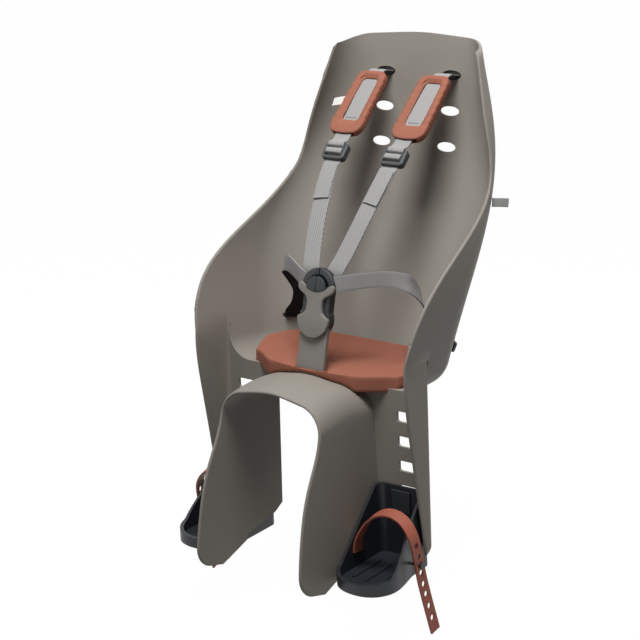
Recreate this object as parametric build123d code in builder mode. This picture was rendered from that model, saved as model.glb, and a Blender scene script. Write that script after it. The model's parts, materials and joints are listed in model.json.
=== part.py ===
"""Rear child seat for a bicycle, clamped on the rails of a luggage rack.

Millimetres. The child faces -Y, +Z is up, the child's left is +X. The origin is the middle of the rack
adapter's flat underside, midway between the two rails, on the height of the rails' axes.
"""
import os

from build123d import *

# Shell
WALL = 5.0
FLOOR_Z = 32.0            # underside of the seat pan
FLOOR_ROUND = 45.0        # outer rounding between the pan and the bucket walls
SEAT_HALF = 172.0         # half width of the bucket's rear corners at the pan
ELBOW_HALF = 195.0        # the same at elbow height
SHOULDER_HALF = 185.0     # at the shoulders
HEAD_HALF = 130.0         # at the top edge
SHELL_TOP = 551.0
RECLINE_FOOT = 56.0       # rear face of the backrest at the pan
BACK_REAR = 181.0         # rear face at the shoulders
HEAD_REAR = 206.0         # rear face at the top edge
ELBOW_Z = 240.0
SHOULDER_Z = 350.0
NECK_Z = 450.0
HEAD_CORNER = 66.0

# Leg channels and wheel fins
FIN_OUT = 96.5            # outer face of a wheel fin at channel top
GUARD_OUT = 202.0         # outer face of a leg guard at channel top
CHANNEL_TOP = 40.0
CHANNEL_LOW = -225.0
SPLAY = 6.0               # sideways lean of fin and guard over the channel's height
LEAN = 17.0               # backward lean of the channel's back wall over the same height
BACKWALL_Y = -64.0        # front face of the back wall at channel top
GUARD_JOIN_Z = 92.0       # height where the leg guard runs into the bucket wall
GUARD_LOW = -212.0
GUARD_CORNER = 22.0
SADDLE_FRONT_Z = 28.0     # crown of the tunnel at its front edge
CREST_Z = 49.0            # crown under the front of the cushion
SADDLE_DROP = 16.0        # fall from the crown to the shoulders
SADDLE_ROUND = 47.0
WINDOW_X = 155.0
WINDOW_TOP_Z = -5.0
WINDOW_PITCH = 40.0
WINDOW_WIDTH = 32.0
WINDOW_HEIGHT = 17.0

# Harness openings in the shell
SLOT_X = 63.5
SLOT_TOP_Z = 487.0
SLOT_PITCH = 57.0
SLOT_WIDTH = 37.0
SLOT_HEIGHT = 16.0
WAIST_SLOT = (155.9, 60.9, 86.0)

# Cushion
GAP = 0.6                 # air between a soft piece and the shell
PAD_THICK = 20.0
CUSHION_RIM_Z = 80.0
CROTCH_Y = -94.0

# Webbing
WEB_WIDTH = 30.0
WAIST_WIDTH = 26.0
WEB_THICK = 1.8

# Rack fixing
RAIL_D = 12.0
RAIL_X = 60.0
BASE_HALF_X = 75.0
BASE_HALF_Y = 38.0
SCREW_Z = 15.0
SCREW_D = 6.0
BOLT_X = 30.0
BOLT_Y = 22.0

# Footrest
FOOT_Z = -237.0           # underside of the sole at its lowest stop
HEEL_HEIGHT = 120.0
FOOT_WALL = 4.5

BOTH = (1, -1)            # +X, the child's left, first

# Bucket sections: height, half width at the rear corner, half width far in front, rear face, corner radius
SECTIONS = (
    (FLOOR_Z, SEAT_HALF, SEAT_HALF + 31, RECLINE_FOOT, 80),
    (GUARD_JOIN_Z, SEAT_HALF + 7, GUARD_OUT + 5, RECLINE_FOOT + 26, 90),
    (ELBOW_Z, ELBOW_HALF, ELBOW_HALF + 28, BACK_REAR - 37, 105),
    (SHOULDER_Z, SHOULDER_HALF, SHOULDER_HALF + 16, BACK_REAR, 72),
    (NECK_Z, HEAD_HALF + 31, HEAD_HALF + 34, HEAD_REAR - 9, 54),
    (SHELL_TOP + 9, HEAD_HALF, HEAD_HALF, HEAD_REAR, 46),
)
FRONT_Y = -165.0
WALL_INNER_X = 30.0


def bucket(inset, floor, rounding):
    """The bucket as a solid: plan sections lofted from pan to head, with a rounded bottom."""
    with BuildPart() as solid:
        for height, half, front_half, rear, radius in SECTIONS:
            level = floor if height == FLOOR_Z else height
            with BuildSketch(Plane.XY.offset(level)):
                with BuildLine():
                    FilletPolyline(
                        (front_half - inset, FRONT_Y - inset), (half - inset, rear - inset),
                        (inset - half, rear - inset), (inset - front_half, FRONT_Y - inset),
                        radius=radius - inset)
                    Line((inset - front_half, FRONT_Y - inset), (front_half - inset, FRONT_Y - inset))
                make_face()
        loft()
        pan_edges = [e for e in solid.faces().sort_by(Axis.Z)[0].edges() if e.center().Y > FRONT_Y + 1]
        fillet(pan_edges, rounding)
    return solid.part


def down(z):
    """How far down the leg channel a height lies: 0 at its top, 1 at its foot."""
    return (CHANNEL_TOP - z) / (CHANNEL_TOP - CHANNEL_LOW)


def back_wall_y(z):
    return BACKWALL_Y + LEAN * down(z)


# Side outlines (Y, Z): the bucket's lip with the leg guard's front edge, and the wheel fin
LIP = (
    (163, 580), (147, 495), (133, 410), (120, 338), (86, 300), (-28, 230), (-103, 170), (-128, 115),
    (-130, 70), (-116, -10), (-92, -115), (-68, -250),
)
FIN_FRONT = ((-192, 80), (-194, 12), (-200, -28), (-228, -92), (-246, -165), (-251, -215))
FIN_FOOT = ((-222, -253), (-192, -260), (-135, -238), (-131, -229), (-62, -212))

with BuildPart() as walls:
    add(bucket(0, FLOOR_Z, FLOOR_ROUND))
    with BuildSketch(Plane.YZ):
        with Locations((FRONT_Y, FLOOR_Z)):
            Rectangle(2 * (BACKWALL_Y + WALL - FRONT_Y), 2 * (GUARD_JOIN_Z - FLOOR_Z))
    extrude(amount=400, both=True, mode=Mode.SUBTRACT)
    join = SECTIONS[1]
    join_y = back_wall_y(GUARD_JOIN_Z)
    join_x = join[1] + (join[2] - join[1]) * (join[3] - join_y) / (join[3] - FRONT_Y)
    for side in BOTH:
        for z, rear_x, front_x, corner in (
                (GUARD_JOIN_Z, join_x, join[2], 1),
                (CHANNEL_LOW, GUARD_OUT + SPLAY, GUARD_OUT + SPLAY, GUARD_CORNER)):
            y = back_wall_y(z)
            with BuildSketch(Plane.XY.offset(z)):
                with BuildLine():
                    FilletPolyline(
                        (side * WALL_INNER_X, y), (side * (rear_x - WALL), y),
                        (side * (front_x - WALL), FRONT_Y), radius=corner)
                    FilletPolyline(
                        (side * WALL_INNER_X, y + WALL), (side * rear_x, y + WALL),
                        (side * front_x, FRONT_Y), radius=corner + WALL)
                    Line((side * WALL_INNER_X, y), (side * WALL_INNER_X, y + WALL))
                    Line((side * (front_x - WALL), FRONT_Y), (side * front_x, FRONT_Y))
                make_face()
        loft(ruled=True)
    add(bucket(WALL, FLOOR_Z + WALL, FLOOR_ROUND - WALL), mode=Mode.SUBTRACT)
    with BuildSketch(Plane.YZ):
        with BuildLine():
            FilletPolyline(
                (-300, CHANNEL_LOW - 30), (-300, GUARD_LOW), (-78, GUARD_LOW), (0, GUARD_LOW + 36),
                (0, CHANNEL_LOW - 30), radius=(0, 30, 0), close=False)
            Line((0, CHANNEL_LOW - 30), (-300, CHANNEL_LOW - 30))
        make_face()
    extrude(amount=400, both=True, mode=Mode.SUBTRACT)
    with BuildSketch(Plane.XZ):
        with BuildLine():
            FilletPolyline(
                (300, 150), (HEAD_HALF + 100, 150), (HEAD_HALF + 15, SHELL_TOP - 8), (0, SHELL_TOP + 2),
                (-HEAD_HALF - 15, SHELL_TOP - 8), (-HEAD_HALF - 100, 150), (-300, 150),
                radius=(0, HEAD_CORNER, 500, HEAD_CORNER, 0))
            Polyline((-300, 150), (-300, 700), (300, 700), (300, 150))
        make_face()
    extrude(amount=400, both=True, mode=Mode.SUBTRACT)
    with BuildSketch(Plane.YZ):
        with BuildLine():
            lip_line = Spline(*LIP)
            Polyline(lip_line @ 1, (-500, LIP[-1][1]), (-500, LIP[0][1]), lip_line @ 0)
        make_face()
    extrude(amount=400, both=True, mode=Mode.SUBTRACT)


def saddle(inset, ends):
    """The tunnel over the wheel as a solid: inverted U sections lofted from front to rear."""
    foot_z = CHANNEL_LOW - 45
    with BuildPart() as solid:
        for y, crest in ends:
            with BuildSketch(Plane.XZ.offset(-y)):
                with BuildLine():
                    FilletPolyline(
                        (FIN_OUT + SPLAY * down(foot_z) - inset, foot_z),
                        (FIN_OUT - inset, crest - SADDLE_DROP - inset), (0, crest - inset),
                        (inset - FIN_OUT, crest - SADDLE_DROP - inset),
                        (inset - FIN_OUT - SPLAY * down(foot_z), foot_z),
                        radius=(SADDLE_ROUND - inset, 160, SADDLE_ROUND - inset))
                    Line((inset - FIN_OUT - SPLAY * down(foot_z), foot_z),
                         (FIN_OUT + SPLAY * down(foot_z) - inset, foot_z))
                make_face()
        loft()
    return solid.part


SADDLE_ENDS = ((-268, SADDLE_FRONT_Z - 16), (-100, CREST_Z), (-36, FLOOR_Z + WALL - 2))

with BuildPart() as tunnel:
    add(saddle(0, SADDLE_ENDS))
    with BuildSketch(Plane.YZ):
        with BuildLine():
            fin_front = Spline(*FIN_FRONT)
            fin_foot = Polyline(*FIN_FOOT)
            toe = TangentArc(fin_front @ 1, FIN_FOOT[0], tangent=fin_front % 1)
            heel = (back_wall_y(CHANNEL_LOW + 25) + WALL, CHANNEL_LOW + 25)
            Polyline(FIN_FOOT[-1], heel, (back_wall_y(FLOOR_Z - 12) + WALL, FLOOR_Z - 12),
                     (-40, FLOOR_Z - 12), (-40, 80), FIN_FRONT[0])
        make_face()
    extrude(amount=400, both=True, mode=Mode.INTERSECT)


def waist_plane(side):
    """Just outside the waist slot, square to the bucket's rear corner."""
    x, y, z = WAIST_SLOT
    return Plane((side * x, y, z), x_dir=(-side, 1, 0), z_dir=(side, 1, -0.55))


with BuildPart() as seat_shell:
    add(walls.part)
    add(tunnel.part)
    add(saddle(WALL, SADDLE_ENDS), mode=Mode.SUBTRACT)
    for side in BOTH:
        for row in range(3):
            with BuildSketch(Plane.XZ.offset(-300)):
                with Locations((side * SLOT_X, SLOT_TOP_Z - row * SLOT_PITCH)):
                    Ellipse(SLOT_WIDTH / 2, SLOT_HEIGHT / 2)
            extrude(amount=200, mode=Mode.SUBTRACT)
        for step in range(4):
            z = WINDOW_TOP_Z - step * WINDOW_PITCH
            with BuildSketch(Plane.XZ.offset(30)):
                with Locations((side * (WINDOW_X + SPLAY * down(z)), z)):
                    RectangleRounded(WINDOW_WIDTH, WINDOW_HEIGHT, 4)
            extrude(amount=60, mode=Mode.SUBTRACT)
        with BuildSketch(waist_plane(side)):
            RectangleRounded(WAIST_WIDTH + 8, 8, 3.5)
        extrude(amount=20, both=True, mode=Mode.SUBTRACT)
    with BuildSketch(Plane.XY):
        with Locations((0, CROTCH_Y)):
            RectangleRounded(58, 15, 5)
    extrude(amount=100, mode=Mode.SUBTRACT)
    with Locations(*[(x * BOLT_X, y * BOLT_Y, FLOOR_Z) for x in BOTH for y in BOTH]):
        Cylinder(3.4, 30, mode=Mode.SUBTRACT)


with BuildPart() as seat_cushion:
    add(bucket(WALL + GAP, FLOOR_Z + WALL + GAP, FLOOR_ROUND - WALL - GAP))
    with BuildSketch(Plane.XY.offset(FLOOR_Z - 3)):
        with Locations((0, BACKWALL_Y - 51)):
            Rectangle(300, 100)
    extrude(amount=20)
    add(bucket(WALL + 17, FLOOR_Z + WALL + PAD_THICK, FLOOR_ROUND - WALL), mode=Mode.SUBTRACT)
    with BuildPart(mode=Mode.PRIVATE) as crown:
        add(saddle(-PAD_THICK, SADDLE_ENDS))
        with Locations((0, -70, 45)):
            Box(150, 80, 70, mode=Mode.INTERSECT)
    add(crown.part)
    with BuildSketch(Plane.XY.offset(FLOOR_Z - 5)):
        with BuildLine():
            nose = ThreePointArc((140, -66), (0, -105), (-140, -66))
            FilletPolyline(nose @ 1, (-172, 50), (172, 50), nose @ 0, radius=58)
        make_face()
    extrude(amount=CUSHION_RIM_Z - FLOOR_Z + 5, mode=Mode.INTERSECT)
    add(saddle(-GAP, SADDLE_ENDS), mode=Mode.SUBTRACT)
    with Locations((0, BACKWALL_Y - 1, FLOOR_Z + WALL + GAP)):
        Box(400, 200, 40, align=(Align.CENTER, Align.MIN, Align.MAX), mode=Mode.SUBTRACT)
    with BuildSketch(Plane.XY):
        with Locations((0, CROTCH_Y + 1)):
            RectangleRounded(58, 15, 5)
    extrude(amount=100, mode=Mode.SUBTRACT)
    with Locations(*[(x * BOLT_X, y * BOLT_Y, FLOOR_Z + WALL) for x in BOTH for y in BOTH]):
        Cylinder(7, 12, mode=Mode.SUBTRACT)


def band(points, width, thick, across):
    """Webbing: a flat band lofted through the points, its width along the given directions."""
    sections = []
    for k, point in enumerate(points):
        ahead = Vector(*points[min(k + 1, len(points) - 1)])
        behind = Vector(*points[max(k - 1, 0)])
        wide = Vector(*(across[k] if isinstance(across, list) else across))
        with BuildSketch(Plane(Vector(*point), x_dir=wide, z_dir=ahead - behind)) as section:
            Rectangle(width, thick)
        sections.append(section.sketch)
    with BuildPart() as solid:
        for k in range(0, len(sections) - 1, 3):
            loft(sections[k:k + 4])
    return solid.part


def mirrored(part):
    return part.mirror(Plane.YZ)


# Shoulder strap on the child's left, from behind the backrest over the shoulder to the buckle
STRAP_PATH = (
    (SLOT_X, 199.9, SLOT_TOP_Z), (SLOT_X, 188, SLOT_TOP_Z + 1.5), (63.2, 172, 490), (62.5, 158, 483),
    (61.5, 140, 466.5), (59, 78, 404), (55, 34, 354), (45, -8, 297), (32.5, -51, 231), (27.8, -64.3, 210.4),
)
with BuildPart() as shoulder_strap_left:
    add(band(STRAP_PATH, WEB_WIDTH, WEB_THICK, (1, 0, 0)))
with BuildPart() as shoulder_strap_right:
    add(mirrored(shoulder_strap_left.part))

# Shoulder pad: foam sleeve on the webbing with an oblong window in its front
PAD_LENGTH = 122.0
PAD_WIDTH = 58.0
pad_plane = Plane(STRAP_PATH[5], x_dir=(1, 0, 0), z_dir=(0, -70, 69))
with BuildPart() as shoulder_pad_left:
    with BuildSketch(pad_plane.offset(-8)):
        with Locations((1.5, PAD_LENGTH / 2 - 6)):
            RectangleRounded(PAD_WIDTH, PAD_LENGTH, 13)
    extrude(amount=14)
    fillet(shoulder_pad_left.edges().filter_by(pad_plane), 3)
    with BuildSketch(Plane(pad_plane.origin, x_dir=(1, 0, 0), z_dir=pad_plane.y_dir)):
        with Locations((1.5, 0.5)):
            Rectangle(WEB_WIDTH + 6, 8)
    extrude(amount=260, both=True, mode=Mode.SUBTRACT)
    with BuildSketch(pad_plane):
        with Locations((1.5, PAD_LENGTH / 2 - 2)):
            RectangleRounded(25, 72, 6)
    extrude(amount=10, mode=Mode.SUBTRACT)
with BuildPart() as shoulder_pad_right:
    add(mirrored(shoulder_pad_left.part))

# Slider below the pad, a frame that the webbing runs through, and the folded webbing tail under it
slider_plane = Plane((56.4, 48, 369.5), x_dir=(1, 0, 0), z_dir=(0, -50, 44))
with BuildPart() as strap_slider_left:
    with BuildSketch(slider_plane.offset(-5)):
        RectangleRounded(43, 30, 6)
    extrude(amount=12)
    fillet(strap_slider_left.edges().filter_by(slider_plane), 2)
    with BuildSketch(Plane(slider_plane.origin, x_dir=(1, 0, 0), z_dir=slider_plane.y_dir)):
        Rectangle(WEB_WIDTH + 4, 5)
    extrude(amount=40, both=True, mode=Mode.SUBTRACT)
    with BuildSketch(slider_plane):
        with Locations((0, -7)):
            RectangleRounded(WEB_WIDTH + 2, 6, 1.5)
        with Locations((0, 6)):
            RectangleRounded(WEB_WIDTH + 2, 6, 1.5)
    extrude(amount=20, mode=Mode.SUBTRACT)
with BuildPart() as strap_slider_right:
    add(mirrored(strap_slider_left.part))
with BuildPart() as strap_tail_left:
    add(band(((54.2, 30.5, 354.2), (51.5, 13.5, 332.2), (48, -2, 310.2), (47, -6, 305.2)),
             WEB_WIDTH - 2, WEB_THICK, (1, 0, 0)))
with BuildPart() as strap_tail_right:
    add(mirrored(strap_tail_left.part))

# Bar behind the backrest that the webbing is sewn round
with BuildPart() as strap_bar_left:
    with Locations((SLOT_X, 203.3, SLOT_TOP_Z)):
        Box(46, 6, 14)
    fillet(strap_bar_left.edges(), 2)
with BuildPart() as strap_bar_right:
    add(mirrored(strap_bar_left.part))

# Buckle, standing on the crotch strap, its front along the plane's normal
buckle_plane = Plane((0, -75, 155), x_dir=(1, 0, 0), z_dir=(0, -0.984, 0.18))
DISC_Y = -25.0
DISC_R = 29.5
with BuildPart() as buckle_housing:
    with BuildSketch(buckle_plane.offset(-9)):
        with Locations((0, DISC_Y)):
            Circle(DISC_R - 1.5)
        with Locations((0, 4)):
            RectangleRounded(50, 46, 8)
    extrude(amount=14)
    with BuildSketch(buckle_plane.offset(-4)):
        with Locations((0, 12)):
            Circle(17.5)
    extrude(amount=20, mode=Mode.SUBTRACT)
with BuildPart() as buckle_cover:
    with BuildSketch(buckle_plane.offset(5.4)):
        with Locations((0, DISC_Y)):
            Circle(DISC_R)
        with BuildLine():
            FilletPolyline((0, -30), (33, 14), (33, 28), (22, 28), (0, 4), (-22, 28), (-33, 28), (-33, 14),
                           (0, -30), radius=3, close=True)
        make_face()
        with Locations((0, 13)):
            Circle(19, mode=Mode.SUBTRACT)
        with Locations((36, -3), (-36, -3)):
            Circle(14, mode=Mode.SUBTRACT)
    extrude(amount=5.5)
    chamfer(buckle_cover.faces().sort_by(Axis(buckle_plane.origin, buckle_plane.z_dir))[-1].edges(), 0.8)
with BuildPart() as buckle_button:
    with BuildSketch(buckle_plane.offset(0.5)):
        with Locations((0, 12)):
            Circle(16.9)
    extrude(amount=9)
    fillet(buckle_button.faces().sort_by(Axis(buckle_plane.origin, buckle_plane.z_dir))[-1].edges(), 3)
    with BuildSketch(buckle_plane.offset(0.5)):
        with Locations((0, 12)):
            Circle(7)
    extrude(amount=4.6, mode=Mode.SUBTRACT)
with BuildPart() as button_spring:
    with BuildSketch(buckle_plane.offset(-3.7)):
        with Locations((0, 12)):
            Circle(5.5)
            Circle(4, mode=Mode.SUBTRACT)
    extrude(amount=5)
with BuildPart() as buckle_tongue_left:
    with BuildSketch(buckle_plane.offset(-4)):
        with Locations((0, 28)):
            Circle(33)
            Circle(23, mode=Mode.SUBTRACT)
        with Locations((20.5, 44)):
            Rectangle(40, 33, mode=Mode.INTERSECT)
    extrude(amount=9)
with BuildPart() as buckle_tongue_right:
    add(mirrored(buckle_tongue_left.part))

# Crotch strap: moulded tongue from under the saddle up to the buckle, with a cross foot that holds it
with BuildPart() as crotch_strap:
    with BuildSketch(buckle_plane.offset(-4)):
        with Locations((0, -74.5)):
            RectangleRounded(52, 90, 8)
    extrude(amount=8)
    fillet(crotch_strap.edges().filter_by(buckle_plane), 1.5)
    with BuildSketch(buckle_plane):
        with Locations((0, DISC_Y)):
            Circle(DISC_R - 1.1)
    extrude(amount=20, both=True, mode=Mode.SUBTRACT)
with BuildPart() as crotch_foot:
    with BuildSketch(buckle_plane.offset(-9)):
        with Locations((0, -124.8)):
            RectangleRounded(66, 10, 3)
    extrude(amount=18)

# Waist strap on the child's left, from the buckle's tongue to a slot in the bucket's rear corner
WAIST_PATH = (
    (36.5, -62.3, 179.8), (60, -43, 193), (90, -24, 197), (116, -4, 187), (137, 20, 155), (141.5, 37, 120),
    (144.5, 47.5, 99), (149, 54, 89.5), (155.5, 60.5, 85.9),
)
WAIST_ACROSS = [(0.1, 0.1, 1), (0.1, 0.1, 1), (0.1, 0.15, 1), (0.3, 0.4, 1), (0.5, 0.5, 0.8),
                (0.7, -0.1, 0.3), (0.7, -0.5, 0.1), (0.7, -0.7, 0), (0.7, -0.7, 0)]
with BuildPart() as waist_strap_left:
    add(band(WAIST_PATH, WAIST_WIDTH, WEB_THICK, WAIST_ACROSS))
with BuildPart() as waist_strap_right:
    add(mirrored(waist_strap_left.part))
with BuildPart() as waist_keeper_left:
    with BuildSketch(waist_plane(1)):
        RectangleRounded(WAIST_WIDTH + 16, 16, 4)
    extrude(amount=5)
    fillet(waist_keeper_left.edges(), 1.2)
with BuildPart() as waist_keeper_right:
    add(mirrored(waist_keeper_left.part))


# Footrest on the child's left: a shoe of heel wall, side walls and sole that slides up the leg channel
foot_plane = Plane((151, back_wall_y(FOOT_Z) - 0.7, FOOT_Z), x_dir=(1, 0, 0),
                   z_dir=(-SPLAY, -LEAN, CHANNEL_TOP - CHANNEL_LOW))
SOLE = ((-45, -112), (-31, -138), (5, -151), (38, -144), (55, -122), (55, -88), (47, -52))


def sole(inset, rise):
    with BuildSketch(foot_plane.offset(rise)) as outline:
        with BuildLine():
            front = Spline(*[(x * (1 - inset / 50), y + inset) for x, y in SOLE])
            FilletPolyline(front @ 1, (45 - inset, -inset), (inset - 45, -inset), front @ 0, radius=12)
        make_face()
    return outline.sketch


with BuildPart() as footrest_left:
    extrude(sole(0, 0), amount=HEEL_HEIGHT)
    extrude(sole(FOOT_WALL, 6), amount=HEEL_HEIGHT, mode=Mode.SUBTRACT)
    with BuildSketch(Plane(foot_plane.origin, x_dir=foot_plane.y_dir, z_dir=foot_plane.x_dir)):
        with BuildLine():
            FilletPolyline((30, HEEL_HEIGHT), (-14, HEEL_HEIGHT), (-112, 23), (-200, 11), radius=14)
            Polyline((-200, 11), (-200, HEEL_HEIGHT + 20), (30, HEEL_HEIGHT + 20), (30, HEEL_HEIGHT))
        make_face()
    extrude(amount=200, both=True, mode=Mode.SUBTRACT)
    with BuildSketch(foot_plane.offset(5.5)):
        with Locations((-22, -75), (2, -80), (26, -75)):
            SlotOverall(70, 7, rotation=90)
    extrude(amount=2.5)
with BuildPart() as footrest_right:
    add(mirrored(footrest_left.part))

# Spring tab on the heel wall that finds the windows of the channel
with BuildPart() as footrest_latch_left:
    with BuildSketch(foot_plane.offset(HEEL_HEIGHT - 42)):
        with Locations((0, -FOOT_WALL - 2.35)):
            Rectangle(34, 4)
    extrude(amount=36)
    fillet(footrest_latch_left.edges(), 1.2)
with BuildPart() as footrest_latch_right:
    add(mirrored(footrest_latch_left.part))

# Foot strap: rubber band with oval holes, from inside the inner wall over the foot to a stud, then hanging
FOOT_STRAP = (
    (111.8, -122, -212), (115.6, -122, -186), (136, -122, -153), (164, -121, -138), (192, -120, -143),
    (210, -118, -166), (214.5, -110, -200), (215.5, -96, -248), (221, -68, -333),
)
FOOT_ACROSS = (0.1, 1, 0.3)
STRAP_HOLES = ((5, 0.55), (6, 0), (6, 0.33), (6, 0.66), (7, 0), (7, 0.22), (7, 0.44), (7, 0.66))


def along(points, k, part):
    here, ahead = Vector(*points[k]), Vector(*points[min(k + 1, len(points) - 1)])
    return here + (ahead - here) * part


with BuildPart() as foot_strap_left:
    add(band(FOOT_STRAP, 20, 3, FOOT_ACROSS))
    for k, part in STRAP_HOLES:
        spot = along(FOOT_STRAP, k, part)
        run = along(FOOT_STRAP, k, 1) - along(FOOT_STRAP, k, 0)
        with BuildSketch(Plane(spot, x_dir=run, z_dir=run.cross(Vector(*FOOT_ACROSS)))):
            SlotOverall(9, 5.5)
        extrude(amount=6, both=True, mode=Mode.SUBTRACT)
with BuildPart() as foot_strap_right:
    add(mirrored(foot_strap_left.part))
stud_spot = along(FOOT_STRAP, 6, 0.33)
with BuildPart() as strap_stud_left:
    with BuildSketch(Plane(stud_spot - Vector(15.6, 0, 0), x_dir=(0, 1, 0), z_dir=(1, 0, 0))):
        Circle(2.2)
    extrude(amount=19.6)
    with BuildSketch(Plane(stud_spot + Vector(3.4, 0, 0), x_dir=(0, 1, 0), z_dir=(1, 0, 0))):
        Circle(4.6)
    extrude(amount=3)
with BuildPart() as strap_stud_right:
    add(mirrored(strap_stud_left.part))

# Rack fixing: a base bolted under the pan, and two jaws drawn together by a left and right hand screw
FACE_GAP = 0.4
with BuildPart() as adapter_base:
    with Locations((0, 0, (FLOOR_Z - FACE_GAP) / 2)):
        Box(2 * BASE_HALF_X, 2 * BASE_HALF_Y, FLOOR_Z - FACE_GAP)
    fillet(adapter_base.edges().filter_by(Axis.Z), 8)
    with BuildSketch(Plane.XZ):
        with Locations((RAIL_X, 0), (-RAIL_X, 0)):
            Circle(RAIL_D / 2)
    extrude(amount=BASE_HALF_Y + 5, both=True, mode=Mode.SUBTRACT)
    with Locations((31, 0, 0), (-31, 0, 0)):
        Box(46, 27, 46, mode=Mode.SUBTRACT)
    with BuildSketch(Plane.YZ):
        with Locations((0, SCREW_Z)):
            Circle(SCREW_D / 2 + 0.4)
    extrude(amount=BASE_HALF_X + 5, both=True, mode=Mode.SUBTRACT)
    with Locations(*[(x * BOLT_X, y * BOLT_Y, 0) for x in BOTH for y in BOTH]):
        Hole(3.4)
        Cylinder(5.6, 13, mode=Mode.SUBTRACT)
with BuildPart() as adapter_bolts:
    with Locations(*[(x * BOLT_X, y * BOLT_Y, 0) for x in BOTH for y in BOTH]):
        with Locations((0, 0, 1)):
            Cylinder(5, 5, align=(Align.CENTER, Align.CENTER, Align.MIN))
            Cylinder(3, FLOOR_Z + WALL + 4, align=(Align.CENTER, Align.CENTER, Align.MIN))
with BuildPart() as adapter_nuts:
    with BuildSketch(Plane.XY.offset(FLOOR_Z + WALL + 0.3)):
        with Locations(*[(x * BOLT_X, y * BOLT_Y) for x in BOTH for y in BOTH]):
            RegularPolygon(5.6, 6)
            Circle(3.3, mode=Mode.SUBTRACT)
    extrude(amount=4)
with BuildPart() as clamp_jaw_left:
    with BuildSketch(Plane.XZ):
        with BuildLine():
            Polyline((26, 1), (26, 22), (50, 22), (50, 1), (52, -6), (60, -7.5), (66, -7.5), (66, -13),
                     (42, -13), (38, 1), (26, 1))
        make_face()
        with Locations((RAIL_X, 0)):
            Circle(RAIL_D / 2 + 0.5, mode=Mode.SUBTRACT)
    extrude(amount=12, both=True)
    with BuildSketch(Plane.YZ):
        with Locations((0, SCREW_Z)):
            Circle(SCREW_D / 2 + 0.4)
    extrude(amount=80, mode=Mode.SUBTRACT)
with BuildPart() as clamp_jaw_right:
    add(mirrored(clamp_jaw_left.part))
with BuildPart() as clamp_screw:
    with BuildSketch(Plane.YZ.offset(-BASE_HALF_X - 8)):
        with Locations((0, SCREW_Z)):
            Circle(SCREW_D / 2)
    extrude(amount=2 * BASE_HALF_X + 24)
with BuildPart() as screw_collar:
    with BuildSketch(Plane.YZ.offset(-BASE_HALF_X - 0.5)):
        with Locations((0, SCREW_Z)):
            Circle(6.5)
            Circle(SCREW_D / 2 + 0.35, mode=Mode.SUBTRACT)
    extrude(amount=-5)
with BuildPart() as clamp_knob:
    with BuildSketch(Plane.YZ.offset(BASE_HALF_X + 0.6)):
        with Locations((0, SCREW_Z)):
            Circle(14.5)
            with PolarLocations(15.5, 8):
                Circle(3.2, mode=Mode.SUBTRACT)
    extrude(amount=24)
    with BuildSketch(Plane.YZ.offset(BASE_HALF_X)):
        with Locations((0, SCREW_Z)):
            Circle(SCREW_D / 2 + 0.35)
    extrude(amount=17.5, mode=Mode.SUBTRACT)

# Blank cloth tabs: one in the right pad's seam, one on the backrest's left edge
with BuildPart() as pad_label:
    with BuildSketch(pad_plane.offset(-2)):
        with Locations((1.5 + PAD_WIDTH / 2 + 7.85, 56)):
            RectangleRounded(15, 11, 1)
    extrude(amount=0.8)
    mirror(about=Plane.YZ, mode=Mode.REPLACE)
with BuildPart() as rear_loop:
    with BuildSketch(Plane((186.5, 125.2, 304), x_dir=(0.8, 0.6, 0), z_dir=(-0.6, 0.8, 0))):
        with Locations((13, 0)):
            RectangleRounded(26, 11, 2)
    extrude(amount=1.6)

if __name__ == "__main__":
    os.makedirs("parts", exist_ok=True)
    for name, piece in list(globals().items()):
        if isinstance(piece, BuildPart) and name not in ("walls", "tunnel", "crown"):
            piece.part.label = name
            export_step(piece.part, f"parts/{name}.step")
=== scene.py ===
# %% [markdown]
# # A rear child seat for a bicycle
# The seat arrives as a set of exact solids, one for each piece: shell, cushion, harness, footrests and rack
# clamp. This lesson dresses them. Most hard mouldings keep their solids and get a finish. The shell gets its
# rounded lip here and the buckle its front. What is soft, foam, webbing, rubber and cloth, is modelled anew
# where the solid lies.

# %% Load the solids
import json
import math

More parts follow.
